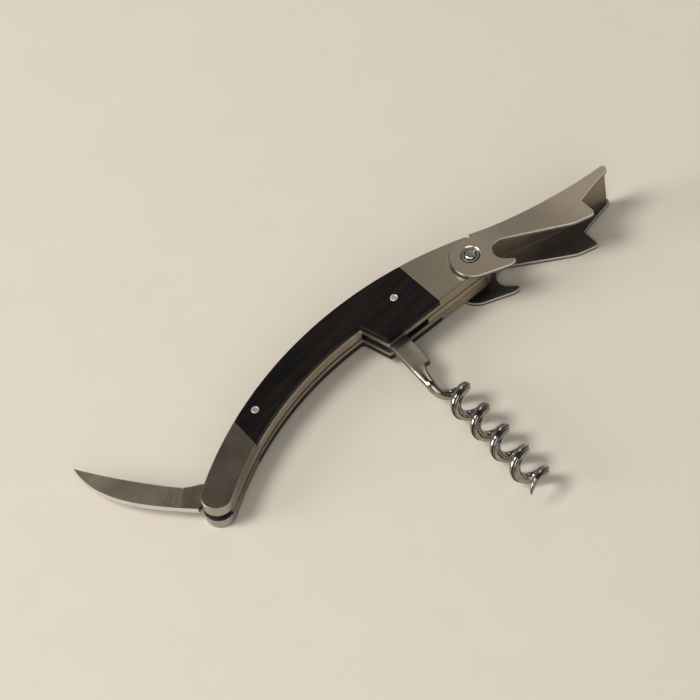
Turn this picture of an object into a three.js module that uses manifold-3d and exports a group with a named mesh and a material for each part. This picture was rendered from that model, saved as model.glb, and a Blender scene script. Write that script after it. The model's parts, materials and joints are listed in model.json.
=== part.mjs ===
// Folding lever corkscrew: a curved two-plate handle that carries a foil blade, a worm and a boot lever.
// Millimetres, +Z up. The origin is the centre of the handle's round knife end, on the lower face of the
// handle, and +X points at the lever's rivet. All three hinges run along Z. The pose is the open tool.

import * as THREE from 'three';
import * as BufferGeometryUtils from 'three/addons/utils/BufferGeometryUtils.js';
import Module from 'manifold-3d';

// Thicknesses of the stack, from the middle plane out
const gap = 2.6;                    // between the two liners
const linerThickness = 1.6;
const coverThickness = 2.15;        // scales and bolsters, over the liners
const springSideGap = 0.4;          // beside what lies between the liners, which rests on one of them

// Handle outline
const leverSpan = 100.96;           // centre of the knife end to the lever's rivet
const knifeEndRadius = 4.4;
const backCrownShare = 0.532;       // of the span, to the highest point of the back
const backHeight = 18.15;
const bellyCrownShare = 0.51;       // of the span, to the highest point of the hollow belly
const bellyHeight = 8.9;
const stepShare = 0.638;            // of the span, to the inner corner of the step in the belly
const stepDepth = 9.35;
const stepLean = 1.6;               // how far the step leans towards the lever over its depth
const stepInnerRadius = 0.9;
const stepOuterRadius = 0.7;
const leverEndRadius = 4.9;         // round of the handle about the lever's rivet
const backCornerRadius = 0.8;
const coverEdgeRound = 0.35;

// Joints between scales and bolsters: from the knife end, and back from the lever's rivet
const knifeSeamBackX = 19.8;
const knifeSeamBellyX = 18.5;
const leverSeamBackSetback = 15;
const leverSeamBellySetback = 16.1;
const seamWidth = 0.1;

// Pins and rivets
const scalePinRadius = 1.2;
const scalePinProud = 0.05;
const knifePinX = 26.2;
const knifePinHeightShare = 0.6;    // of the handle's width there, up from the belly
const leverPinSetback = 23.5;       // back from the lever's rivet
const leverPinHeightShare = 0.54;
const hiddenRivetRadius = 0.9;
const pivotPinRadius = 1.25;
const pinClearance = 0.05;          // round every pin in its hole
const leverRivetRadius = 1.6;
const rivetProud = 0.3;             // rivet standing out of the lever's cheek
const rivetHeadRound = 0.3;
const washerInnerRadius = 1.85;
const washerOuterRadius = 2.5;
const washerSunk = 0.1;             // below the cheek's outer face
const washerClearance = 0.2;        // round the washer in the cheek's hole
const cheekHoleChamfer = 0.25;

// Foil blade, in its own frame: origin on its pivot, x along the blade to the tip
const knifePivotX = 2.6;
const knifePivotY = 1.5;
const bladeLength = 42.8;
const bladeTipDrop = 0.35;          // of the tip, towards the cutting edge
const bladeThickness = 2;
const bladeEdgeThickness = 0.35;
const bladeOpenDegrees = 119.3;
const bladeClosedDegrees = 14;
const tangRadius = 3.9;
const shoulderX = 4.9;              // corner of the spine behind the tang
const shoulderY = 5.9;
const spineBulgeX = 21;             // pull of the spine curve near the handle
const spineBulgeY = 8.1;
const spineBellyX = 34.5;           // pull of the spine curve near the tip
const spineBellyY = 9;
const ricassoX = 9.2;               // where the ground part of the blade starts
const ricassoWidth = 6.3;
const edgeStartX = 10.6;            // where the cutting edge starts
const edgeStartY = -0.25;
const edgeHollow = 1.05;            // pull of the hollow cutting edge
const heelX = 6.4;
const heelY = -1.75;
const choilX = 8.9;                 // shallow hollow between the heel and the cutting edge
const choilY = -0.46;
const choilStandBack = 0.42;        // of the ricasso's corner, from the cutting edge
const toothPitch = 1.25;
const toothDepth = 0.22;
const tipThinShare = 0.2;           // of the ground length, over which the spine thins to the tip

// Worm, in its own frame: origin on its pivot, s along the worm to the tip, l towards the lever
const wormPivotPastStep = 4.2;      // from the outer corner of the step
const wormPivotAboveStep = 5.6;
const wormOpenDegrees = -99.6;
const wormHeelRadius = 3.4;
const shankWidth = 6.3;
const shankThickness = 2.3;
const shankLength = 16.6;
const wireDiameter = 2.5;
const wormOuterDiameter = 8.75;
const wormPitch = 8.75;
const wormAxisOffset = 2.3;         // of the screw's axis from the shank's middle
const wormTurns = 4.96;             // from the shank's side round to the tip
const firstCrest = 29.1;            // distance from the pivot to the first crest on the lever's side
const turnInLength = 6;             // stretch over which the straight wire takes up the turn
const wireRootStart = 10;           // where the wire starts inside the shank
const tipTaperLength = 7;
const tipRadius = 0.18;

// Springs and spacer between the liners
const springArmThickness = 1.4;
const knifeArmEndX = 1.3;
const springBodyLength = 17.5;      // back from the step
const springBodyOverStep = 1.0;     // how far the body runs on past the step
const springBodyCornerRadius = 1;
const wormArmThickness = 2.2;
const wormArmPastPivot = 5.3;
const springClearance = 0.3;        // between the springs and what moves against them
const leverSpringLength = 20.05;    // back from the lever's rivet
const leverSpringLean = 1.1;
const spacerPastStep = 2.5;

// Boot lever, in its own frame: origin on its rivet, x and y as the handle's
const leverSheet = 1.4;
const cheekInner = 6.2;             // half the width inside the channel
const leverDrop = 0.95;             // play that the lever has dropped by on its rivet, as it lies
const cheekRoundRadius = 6.55;      // round end of each cheek
const cheekRoundX = 0.1;
const cheekRoundY = -1.1;
const cheekReliefWider = 0.75;      // shallow round recess in the bolster, past the cheek's round
const cheekReliefDepth = 0.3;
const webStartX = 4.7;              // end of the web next to the handle
const webStartY = 5;
const webEndX = 46;                 // end of the web's outer side at the tip of the foot
const webEndY = -8.4;
const webSag = 2;                   // hollow of the web's outer side
const webSetback = 0.6;             // of the web behind the tips of the cheeks
const footCornerRadius = 0.85;
const stopGap = 0.35;               // between the web's end and the handle's stop face
const footTipX = 46;
const footTipY = -10.4;
const footTipRadius = 1;
const footStepX = 33.05;            // inner corner of the step that sits on the bottle's lip
const footStepY = -11.87;
const footStepSag = 0.2;            // hollow of the step's long side
const footHeelX = 32.55;
const footHeelY = -18;
const footHeelRadius = 0.9;
const armTopX = 9.9;                // lower edge of the arm, from the hook's slot to the heel
const armTopY = -2.95;
const armLowX = 26.3;
const armLowY = -15.6;
const armLowRadius = 8;
const slotCentreX = 7.83;
const slotCentreY = -6.02;
const slotRadius = 3.6;
const hookTipX = 6.54;
const hookTipY = -10.66;
const hookTipRadius = 0.5;
const hookChinBehindTip = 1.66;     // where the cheek's lower edge turns up to the hook's tip
const hookChinBelowTip = 0.28;
const hookInnerX = 5.2;             // inner side of the hook, below its slot
const hookInnerY = -8.47;
const flareStartX = 8.5;
const flareEndX = 26;
const flare = 0.9;                  // how far each cheek spreads at the foot

// Facets
const arcStep = THREE.MathUtils.degToRad(1.6);
const filletStep = THREE.MathUtils.degToRad(18);
const roundSides = 24;
const wireSides = 12;
const stepsPerTurn = 24;
const straightSteps = 12;
const edgeRoundSteps = 2;
const longStepParts = 4;            // of the step's long side
const overrun = 1;                  // every cutter runs this far past what it cuts

// Heights, from the handle's middle plane
const linerInner = gap / 2;
const linerOuter = linerInner + linerThickness;
const handleHalf = linerOuter + coverThickness;
const cheekOuter = cheekInner + leverSheet;

const wasm = await Module();
wasm.setup();

// Solids

function solid(geometry) {
  const bare = geometry.clone();
  bare.deleteAttribute('normal');
  bare.deleteAttribute('uv');
  const merged = BufferGeometryUtils.mergeVertices(bare, mergeDistance());
  return new wasm.Manifold(new wasm.Mesh({
    numProp: 3,
    vertProperties: new Float32Array(merged.attributes.position.array),
    triVerts: new Uint32Array(merged.index.array),
  }));
}

function mergeDistance() {
  return gap / 1e5;
}

function geometryOf(manifold) {
  const mesh = manifold.getMesh();
  const geometry = new THREE.BufferGeometry();
  geometry.setAttribute('position', new THREE.BufferAttribute(mesh.vertProperties, 3));
  geometry.setIndex(new THREE.BufferAttribute(mesh.triVerts, 1));
  return geometry;
}

// A flat outline raised from one height to another
function slab(points, low, high) {
  const geometry = new THREE.ExtrudeGeometry(new THREE.Shape(points), {
    depth: high - low,
    bevelEnabled: false,
  });
  geometry.translate(0, 0, low);
  return solid(geometry);
}

// A round bar along Z
function bar(x, y, radius, low, high) {
  const geometry = new THREE.CylinderGeometry(radius, radius, high - low, roundSides);
  geometry.rotateX(Math.PI / 2);
  geometry.translate(x, y, (low + high) / 2);
  return solid(geometry);
}

// The same shape below the middle plane, with each triangle turned over
function mirrored(geometry) {
  const copy = geometry.clone();
  copy.scale(1, 1, -1);
  const index = copy.index.array;
  for (let i = 0; i < index.length; i += 3) [index[i + 1], index[i + 2]] = [index[i + 2], index[i + 1]];
  return copy;
}

// Outlines

function point(x, y) {
  return new THREE.Vector2(x, y);
}

function polar(centre, radius, angle) {
  return point(centre.x + radius * Math.cos(angle), centre.y + radius * Math.sin(angle));
}

function arc(centre, radius, from, to, step = arcStep) {
  const count = Math.max(2, Math.ceil(Math.abs(to - from) / step));
  const points = [];
  for (let i = 0; i <= count; i += 1) {
    points.push(polar(centre, radius, from + (to - from) * (i / count)));
  }
  return points;
}

// A corner rounded between its two neighbours
function roundCorner(before, corner, after, radius) {
  const u = before.clone().sub(corner).normalize();
  const v = after.clone().sub(corner).normalize();
  const half = Math.acos(THREE.MathUtils.clamp(u.dot(v), -1, 1)) / 2;
  const centre = u.clone().add(v).normalize().multiplyScalar(radius / Math.sin(half)).add(corner);
  const reach = radius / Math.tan(half);
  const start = u.multiplyScalar(reach).add(corner).sub(centre);
  const end = v.multiplyScalar(reach).add(corner).sub(centre);
  const turn = Math.atan2(start.x * end.y - start.y * end.x, start.dot(end));
  return arc(centre, radius, start.angle(), start.angle() + turn, filletStep);
}

function rounded(corners) {
  return corners.flatMap((corner, i) => {
    const before = corners[(i + corners.length - 1) % corners.length];
    const after = corners[(i + 1) % corners.length];
    return corner.radius ? roundCorner(before.at, corner.at, after.at, corner.radius) : [corner.at];
  });
}

function angleTo(centre, target) {
  return Math.atan2(target.y - centre.y, target.x - centre.x);
}

// Handle outline

const knifeEnd = point(0, 0);
const leverPivot = point(leverSpan, 0);
const knifePivot = point(knifePivotX, knifePivotY);

// The long arc of one side, through its crown and touching the round of the knife end
function sideArc(crownX, crownY, endRadius) {
  const spread = crownX ** 2 + crownY ** 2 - endRadius ** 2;
  const radius = spread / (2 * (crownY - endRadius));
  return { radius, centre: point(crownX, crownY - radius) };
}

const back = sideArc(backCrownShare * leverSpan, backHeight, knifeEndRadius);
const belly = sideArc(bellyCrownShare * leverSpan, bellyHeight, -knifeEndRadius);

function heightOn(side, x) {
  return side.centre.y + Math.sqrt(side.radius ** 2 - (x - side.centre.x) ** 2);
}

const stepX = stepShare * leverSpan;
const stepInner = point(stepX, heightOn(belly, stepX));
const stepOuter = point(stepX + stepLean, stepInner.y - stepDepth);
const wormPivot = point(stepOuter.x + wormPivotPastStep, stepOuter.y + wormPivotAboveStep);

// The block's edge between the step and the round of the lever end
const blockReach = leverPivot.clone().sub(stepOuter);
const blockNormal = blockReach.angle() - Math.PI / 2 - Math.asin(leverEndRadius / blockReach.length());
const blockEnd = polar(leverPivot, leverEndRadius, blockNormal);

function lowerEdge(x) {
  if (x < stepX) return heightOn(belly, x);
  return stepOuter.y + (blockEnd.y - stepOuter.y) * ((x - stepOuter.x) / (blockEnd.x - stepOuter.x));
}

function across(x, share) {
  return point(x, THREE.MathUtils.lerp(lowerEdge(x), heightOn(back, x), share));
}

// A shallow arc between two points, hollow on its left
function bowed(from, to, sag) {
  const chord = to.clone().sub(from);
  const half = chord.length() / 2;
  const radius = (half ** 2 + sag ** 2) / (2 * sag);
  const left = point(-chord.y, chord.x).normalize();
  const centre = from.clone().add(to).multiplyScalar(0.5).add(left.multiplyScalar(radius - sag));
  return { radius, centre };
}

// The web of the lever and the handle's stop face that it meets
const webStart = point(webStartX, webStartY);
const webEnd = point(webEndX, webEndY);
const web = bowed(webStart, webEnd, webSag);
const webStartAngle = angleTo(web.centre, webStart);
const webInward = webStart.clone().sub(web.centre).normalize();
const webAlong = point(-webInward.y, webInward.x);

function stopFace() {
  const on = webStart.clone().sub(webAlong.clone().multiplyScalar(stopGap)).add(leverPivot);
  const low = lineMeetsCircle(on, webInward, leverPivot, leverEndRadius);
  const high = lineMeetsCircle(on, webInward.clone().negate(), back.centre, back.radius);
  return { low, high };
}

// Where a line from a point, followed in one direction, first meets a circle
function lineMeetsCircle(start, direction, centre, radius) {
  const from = start.clone().sub(centre);
  const b = from.dot(direction);
  const c = from.lengthSq() - radius ** 2;
  const root = Math.sqrt(b ** 2 - c);
  const travel = c > 0 ? -b - root : -b + root;
  return start.clone().add(direction.clone().multiplyScalar(travel));
}

function handleOutline() {
  const bellyStart = angleTo(belly.centre, knifeEnd);
  const bellyEnd = angleTo(belly.centre, stepInner) + stepInnerRadius / belly.radius;
  const bellyArc = arc(belly.centre, belly.radius, bellyStart, bellyEnd);
  const stop = stopFace();
  const stopLowAngle = angleTo(leverPivot, stop.low);
  const backStart = angleTo(back.centre, stop.high) + backCornerRadius / back.radius;
  const backEnd = angleTo(back.centre, knifeEnd);
  const backArc = arc(back.centre, back.radius, backStart, backEnd);

  return [
    ...bellyArc,
    ...roundCorner(bellyArc.at(-1), stepInner, stepOuter, stepInnerRadius),
    ...roundCorner(stepInner, stepOuter, blockEnd, stepOuterRadius),
    ...arc(leverPivot, leverEndRadius, blockNormal, stopLowAngle, filletStep),
    ...roundCorner(stop.low, stop.high, backArc[0], backCornerRadius),
    ...backArc.slice(1),
    ...arc(knifeEnd, knifeEndRadius, backEnd, bellyStart + Math.PI, filletStep).slice(1, -1),
  ];
}

const outline = handleOutline();

// Covers: one rounded blank, split into bolsters and scale

function coverBlank() {
  const geometry = new THREE.ExtrudeGeometry(new THREE.Shape(outline), {
    depth: coverThickness,
    bevelThickness: coverEdgeRound,
    bevelSize: coverEdgeRound,
    bevelOffset: -coverEdgeRound,
    bevelSegments: edgeRoundSteps,
  });
  geometry.translate(0, 0, linerOuter - coverEdgeRound);
  const keep = slab(boxAround(outline), linerOuter, handleHalf + overrun);
  return solid(geometry).intersect(keep);
}

function boxAround(points) {
  const box = new THREE.Box2().setFromPoints(points).expandByScalar(overrun);
  return [box.min, point(box.max.x, box.min.y), box.max, point(box.min.x, box.max.y)];
}

// A seam's line through the belly and the back, drawn on past both
function seam(bellyX, backX, y) {
  const low = lowerEdge(bellyX);
  const high = heightOn(back, backX);
  return point(bellyX + (backX - bellyX) * ((y - low) / (high - low)), y);
}

function scaleZone(inset) {
  const box = new THREE.Box2().setFromPoints(outline).expandByScalar(overrun);
  const knifeSide = [knifeSeamBellyX + inset, knifeSeamBackX + inset];
  const leverSide = [leverSpan - leverSeamBellySetback - inset, leverSpan - leverSeamBackSetback - inset];
  return slab([
    seam(...knifeSide, box.min.y),
    seam(...leverSide, box.min.y),
    seam(...leverSide, box.max.y),
    seam(...knifeSide, box.max.y),
  ], linerOuter - overrun, handleHalf + overrun);
}

// Places of the rivets between the liners

function onRib(depthBelowBack, x) {
  const radius = back.radius - depthBelowBack;
  return point(x, back.centre.y + Math.sqrt(radius ** 2 - (x - back.centre.x) ** 2));
}

const wormArmLow = wormPivot.distanceTo(back.centre) + wormHeelRadius + springClearance;
const wormArmHigh = wormArmLow + wormArmThickness;
const spacerLow = wormArmHigh + springClearance;
const spacerHeight = back.radius - spacerLow;
const springBodyX = stepX - springBodyLength;
const leverSpringX = leverSpan - leverSpringLength;
const spacerX = stepX + spacerPastStep;

const springRivetShares = [0.25, 0.75];
const springRivetHeightShare = 0.5;
const spacerRivetShares = [0.25, 0.8];
const leverSpringRivetShares = [[0.3, 0.25], [0.62, 0.72]];

const springRivets = springRivetShares.map((share) => (
  across(springBodyX + share * springBodyLength, springRivetHeightShare)
));
const spacerRivets = spacerRivetShares.map((share) => (
  onRib(spacerHeight / 2, spacerX + share * (leverSpringX - spacerX))
));
const leverSpringRivets = leverSpringRivetShares.map(([along, height]) => (
  across(leverSpringX + along * leverSpringLength, height)
));
const hiddenRivets = [...springRivets, ...spacerRivets, ...leverSpringRivets];
const scalePins = [
  across(knifePinX, knifePinHeightShare),
  across(leverSpan - leverPinSetback, leverPinHeightShare),
];

function hole(at, radius, low, high) {
  return bar(at.x, at.y, radius + pinClearance, low, high);
}

// Plate: liner with its two bolsters, drilled from the inside so that no pin but the rivet shows
function upperPlate() {
  const low = linerInner - overrun;
  let plate = slab(outline, linerInner, linerOuter).add(coverBlank().subtract(scaleZone(0)));
  hiddenRivets.forEach((at) => {
    plate = plate.subtract(hole(at, hiddenRivetRadius, low, linerOuter));
  });
  plate = plate.subtract(hole(knifePivot, pivotPinRadius, low, linerOuter));
  plate = plate.subtract(hole(wormPivot, pivotPinRadius, low, linerOuter + seamWidth));
  scalePins.forEach((at) => {
    plate = plate.subtract(hole(at, scalePinRadius, low, linerOuter + seamWidth));
  });
  plate = plate.subtract(hole(leverPivot, leverRivetRadius, low, handleHalf + overrun));
  const relief = bar(leverPivot.x + cheekRoundX, leverPivot.y + cheekRoundY,
    cheekRoundRadius + cheekReliefWider, handleHalf - cheekReliefDepth, handleHalf + overrun);
  return geometryOf(plate.subtract(relief));
}

function upperScale() {
  let scale = coverBlank().intersect(scaleZone(seamWidth));
  scalePins.forEach((at) => {
    scale = scale.subtract(hole(at, scalePinRadius, linerOuter - overrun, handleHalf + overrun));
  });
  return geometryOf(scale);
}

// What lies between the liners is cut from blanks of the handle's outline, one against each liner

function upperBlank() {
  return slab(outline, springSideGap - linerInner, linerInner);
}

function lowerBlank() {
  return slab(outline, -linerInner, linerInner - springSideGap);
}

function ring(side, inner, outer, fromX, toX) {
  const from = angleTo(side.centre, point(fromX, heightOn(side, fromX)));
  const to = angleTo(side.centre, point(toX, heightOn(side, toX)));
  return slab([
    ...arc(side.centre, inner, to, from),
    ...arc(side.centre, outer, from, to),
  ].reverse(), -linerInner - overrun, linerInner + overrun);
}

function innerHole(at, radius) {
  return hole(at, radius, -linerOuter, linerOuter);
}

function doubleSpring() {
  const top = back.radius + overrun;
  const bodyEndX = stepX + springBodyOverStep;
  const knifeArm = ring(belly, belly.radius - overrun, belly.radius + springArmThickness, knifeArmEndX,
    springBodyX + overrun);
  const body = slab(rounded([
    { at: point(springBodyX, heightOn(belly, springBodyX) - overrun) },
    { at: point(bodyEndX, stepInner.y), radius: springBodyCornerRadius },
    { at: point(bodyEndX, top) },
    { at: point(springBodyX, top) },
  ]), -linerInner - overrun, linerInner + overrun);
  const wormArm = ring(back, wormArmLow, wormArmHigh, bodyEndX - overrun, wormPivot.x + wormArmPastPivot);
  let spring = upperBlank().intersect(knifeArm.add(body)).add(upperBlank().intersect(wormArm));
  spring = spring.subtract(slab(tangRoom(), -linerOuter, linerOuter));
  springRivets.forEach((at) => {
    spring = spring.subtract(innerHole(at, hiddenRivetRadius));
  });
  return geometryOf(spring);
}

// Room that the tang and the heel of the folded blade need, a clearance wider all round
function tangRoom() {
  const closed = THREE.MathUtils.degToRad(bladeClosedDegrees);
  const heel = point(heelX, heelY).rotateAround(knifeEnd, closed).add(knifePivot);
  const wide = tangRadius + springClearance;
  const toHeel = angleTo(knifePivot, heel);
  const lean = Math.acos((wide - springClearance) / heel.distanceTo(knifePivot));
  return [
    ...arc(heel, springClearance, toHeel - lean, toHeel + lean, filletStep),
    ...arc(knifePivot, wide, toHeel + lean, toHeel - lean + 2 * Math.PI, filletStep),
  ];
}

function backSpacer() {
  const zone = ring(back, spacerLow, back.radius + overrun, spacerX, leverSpringX - springClearance);
  let spacer = upperBlank().intersect(zone);
  spacerRivets.forEach((at) => {
    spacer = spacer.subtract(innerHole(at, hiddenRivetRadius));
  });
  return geometryOf(spacer);
}

function leverSpring() {
  const box = new THREE.Box2().setFromPoints(outline).expandByScalar(overrun);
  const zone = slab([
    point(leverSpringX - leverSpringLean, box.min.y),
    point(box.max.x, box.min.y),
    point(box.max.x, box.max.y),
    point(leverSpringX, box.max.y),
    point(leverSpringX, wormPivot.y),
  ], -linerInner - overrun, linerInner + overrun);
  let spring = lowerBlank().intersect(zone);
  leverSpringRivets.forEach((at) => {
    spring = spring.subtract(innerHole(at, hiddenRivetRadius));
  });
  return geometryOf(spring.subtract(innerHole(leverPivot, leverRivetRadius)));
}

// Pins

function pin(radius, low, high) {
  return geometryOf(bar(0, 0, radius, low, high));
}

// A rivet or pin with softly rounded ends, turned on the axis
function turnedPin(radius, low, high, endRound, lowRound) {
  const profile = [point(0, low)];
  if (lowRound) profile.push(point(radius - endRound, low), point(radius, low + endRound));
  if (!lowRound) profile.push(point(radius, low));
  profile.push(point(radius, high - endRound), point(radius - endRound, high), point(0, high));
  const geometry = new THREE.LatheGeometry(profile, roundSides);
  geometry.rotateX(Math.PI / 2);
  return geometryOf(solid(geometry));
}

// A washer that stands in the bolster's recess and fills the hole of one cheek, round the rivet
function washer(cheekTop) {
  const low = handleHalf - cheekReliefDepth;
  const disc = bar(0, 0, washerOuterRadius, low, cheekTop - washerSunk);
  return geometryOf(disc.subtract(bar(0, 0, washerInnerRadius, low - overrun, cheekTop + overrun)));
}

// Foil blade: flat ricasso and tang, then a blade ground from its thick spine to its toothed edge

function spineCurve() {
  return new THREE.CubicBezierCurve(
    point(shoulderX, shoulderY),
    point(spineBulgeX, spineBulgeY),
    point(spineBellyX, spineBellyY),
    point(bladeLength, -bladeTipDrop),
  );
}

function edgeCurve() {
  return new THREE.QuadraticBezierCurve(
    point(edgeStartX, edgeStartY),
    point((edgeStartX + bladeLength) / 2, edgeHollow),
    point(bladeLength, -bladeTipDrop),
  );
}

function tangOutline(spineEnd, edgeEnd) {
  const centre = point(0, 0);
  const heelAngle = -Math.acos(tangRadius / Math.hypot(heelX, heelY)) + angleTo(centre, point(heelX, heelY));
  const shoulderAngle = angleTo(centre, point(shoulderX, shoulderY)) - shoulderUndercut();
  return [
    ...arc(centre, tangRadius, shoulderAngle, heelAngle + 2 * Math.PI, filletStep),
    point(heelX, heelY),
    point(choilX, choilY),
    edgeEnd.clone().add(point(0, choilStandBack)),
    spineEnd,
    point(shoulderX, shoulderY),
  ];
}

function shoulderUndercut() {
  return Math.asin(tangRadius / Math.hypot(shoulderX, shoulderY)) / 2;
}

function knifeBlade() {
  const spine = spineCurve();
  const edge = edgeCurve();
  const teeth = Math.round((bladeLength - edgeStartX) / toothPitch);
  const stations = teeth * 4;
  const firstSpine = curveShareAt(spine, ricassoX);
  const sections = [];
  for (let i = 0; i <= stations; i += 1) {
    const share = i / stations;
    const thin = Math.sqrt(Math.min(1, (1 - share) / tipThinShare));
    const scallop = 1 - Math.abs(Math.cos(Math.PI * teeth * share));
    const low = edge.getPoint(share).add(point(0, toothDepth * scallop * thin));
    const high = spine.getPoint(firstSpine + (1 - firstSpine) * share);
    sections.push({ low, high, thin });
  }
  const tip = sections.pop();
  const flat = sections[0];
  const tang = slab(tangOutline(flat.high, flat.low), -bladeThickness / 2, bladeThickness / 2);
  const ground = groundLoft(sections, tip.low);
  const drill = bar(0, 0, pivotPinRadius + pinClearance, -bladeThickness, bladeThickness);
  return geometryOf(tang.add(ground).subtract(drill));
}

function curveShareAt(curve, x) {
  let low = 0;
  let high = 1;
  for (let i = 0; i < 30; i += 1) {
    const middle = (low + high) / 2;
    if (curve.getPoint(middle).x < x) low = middle;
    else high = middle;
  }
  return low;
}

// Wedge-shaped sections from spine to edge, closed at the ricasso and drawn to a point at the tip
function groundLoft(sections, tip) {
  const positions = [];
  const index = [];
  sections.forEach(({ low, high, thin }) => {
    const edgeHalf = bladeEdgeThickness / 2;
    const spineHalf = THREE.MathUtils.lerp(edgeHalf, bladeThickness / 2, thin);
    positions.push(low.x, low.y, -edgeHalf, high.x, high.y, -spineHalf);
    positions.push(high.x, high.y, spineHalf, low.x, low.y, edgeHalf);
  });
  positions.push(tip.x, tip.y, 0);
  for (let s = 0; s < sections.length - 1; s += 1) {
    for (let side = 0; side < 4; side += 1) {
      const a = s * 4 + side;
      const b = s * 4 + (side + 1) % 4;
      index.push(a, a + 4, b, b, a + 4, b + 4);
    }
  }
  const last = (sections.length - 1) * 4;
  for (let side = 0; side < 4; side += 1) {
    index.push(last + side, last + 4, last + (side + 1) % 4);
  }
  index.push(0, 1, 2, 0, 2, 3);
  return closedSolid(positions, index);
}

// A mesh of points and triangles as a solid, turned right side out if need be
function closedSolid(positions, index) {
  const geometry = new THREE.BufferGeometry();
  geometry.setAttribute('position', new THREE.Float32BufferAttribute(positions, 3));
  geometry.setIndex(index);
  const first = solid(geometry);
  if (first.volume() > 0) return first;
  const flipped = [];
  for (let i = 0; i < index.length; i += 3) flipped.push(index[i], index[i + 2], index[i + 1]);
  geometry.setIndex(flipped);
  return solid(geometry);
}

// Worm: a flat shank whose inner half runs out into a round wire, wound into a right-handed screw

const wormRadius = (wormOuterDiameter - wireDiameter) / 2;
const turnRate = 2 * Math.PI / wormPitch;
const turnMiddle = firstCrest - wormPitch / 2;
const turnInStart = turnMiddle - turnInLength / 2;
const wormEnd = turnMiddle + wormTurns * wormPitch;

function turnAt(s) {
  if (s < turnInStart) return -Math.PI;
  const run = s - turnInStart;
  if (run < turnInLength) return -Math.PI + turnRate * run ** 2 / (2 * turnInLength);
  return -Math.PI + turnRate * (run - turnInLength / 2);
}

function wormPoint(s) {
  const turn = turnAt(s);
  return new THREE.Vector3(
    s,
    wormAxisOffset + wormRadius * Math.cos(turn),
    wormRadius * Math.sin(turn),
  );
}

function wormStations() {
  const stations = [];
  for (let i = 0; i < straightSteps; i += 1) {
    stations.push(wireRootStart + (turnInStart - wireRootStart) * (i / straightSteps));
  }
  const turning = Math.round((wormEnd - turnInStart) / wormPitch * stepsPerTurn);
  for (let i = 0; i <= turning; i += 1) {
    stations.push(turnInStart + (wormEnd - turnInStart) * (i / turning));
  }
  return stations;
}

// Half the wire's thickness: full along the worm and drawn to a point over the last stretch
function wireRadiusAt(s) {
  const share = THREE.MathUtils.clamp((wormEnd - s) / tipTaperLength, 0, 1);
  return THREE.MathUtils.lerp(tipRadius, wireDiameter / 2, Math.sqrt(share));
}

function wire() {
  const stations = wormStations();
  const positions = [];
  const index = [];
  stations.forEach((s) => {
    const reach = wormPitch / stepsPerTurn / 2;
    const along = wormPoint(s + reach).sub(wormPoint(s - reach)).normalize();
    const turn = turnAt(s);
    const outward = new THREE.Vector3(0, Math.cos(turn), Math.sin(turn));
    const side = along.clone().cross(outward).normalize();
    const up = side.clone().cross(along);
    const radius = wireRadiusAt(s);
    const centre = wormPoint(s).add(outward.multiplyScalar(wireDiameter / 2 - radius));
    for (let i = 0; i < wireSides; i += 1) {
      const angle = 2 * Math.PI * (i + 1 / 2) / wireSides;
      const rim = centre.clone();
      rim.addScaledVector(up, radius * Math.cos(angle));
      rim.addScaledVector(side, radius * Math.sin(angle));
      positions.push(rim.x, rim.y, rim.z);
    }
  });
  closeTube(index, stations.length);
  return closedSolid(positions, index);
}

function closeTube(index, rings) {
  for (let r = 0; r < rings - 1; r += 1) {
    for (let i = 0; i < wireSides; i += 1) {
      const a = r * wireSides + i;
      const b = r * wireSides + (i + 1) % wireSides;
      index.push(a, b, a + wireSides, b, b + wireSides, a + wireSides);
    }
  }
  const last = (rings - 1) * wireSides;
  for (let i = 1; i < wireSides - 1; i += 1) {
    index.push(0, i + 1, i);
    index.push(last, last + i, last + i + 1);
  }
}

// Least gap between one turn and the next, measured on points of the wire's middle line
function leastTurnGap() {
  const stations = wormStations().filter((s) => s > turnInStart);
  let least = wormPitch;
  stations.forEach((s, i) => {
    stations.slice(i).filter((other) => other - s > wormPitch / 2).forEach((other) => {
      const apart = wormPoint(s).distanceTo(wormPoint(other));
      least = Math.min(least, apart - wireRadiusAt(s) - wireRadiusAt(other));
    });
  });
  return least;
}

function shankOutline() {
  const half = shankWidth / 2;
  const wireSide = wormAxisOffset - wormRadius;
  const neck = shankLength + wireDiameter;
  return [
    ...arc(point(0, 0), wormHeelRadius, Math.PI / 2 + heelFlat(), 3 * Math.PI / 2 - heelFlat(), filletStep),
    point(shankLength - shankWidth / 2, -half),
    point(neck + wireDiameter, wireSide - wireDiameter / 2),
    point(neck + wireDiameter, wireSide),
    point(neck, wireSide + wireDiameter / 2),
    point(shankLength, wireSide + wireDiameter * 3 / 4),
    point(shankLength, half),
  ];
}

// The heel bulges a little past the shank's sides
function heelFlat() {
  return Math.acos(Math.min(1, shankWidth / 2 / wormHeelRadius));
}

function wormSolid() {
  const half = shankThickness / 2;
  const shank = slab(shankOutline(), -half, half);
  const drill = bar(0, 0, pivotPinRadius + pinClearance, -shankThickness, shankThickness);
  return geometryOf(shank.subtract(drill).add(wire()));
}

// Boot lever: a channel of folded sheet, cut from its side outline and spread at the foot

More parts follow.
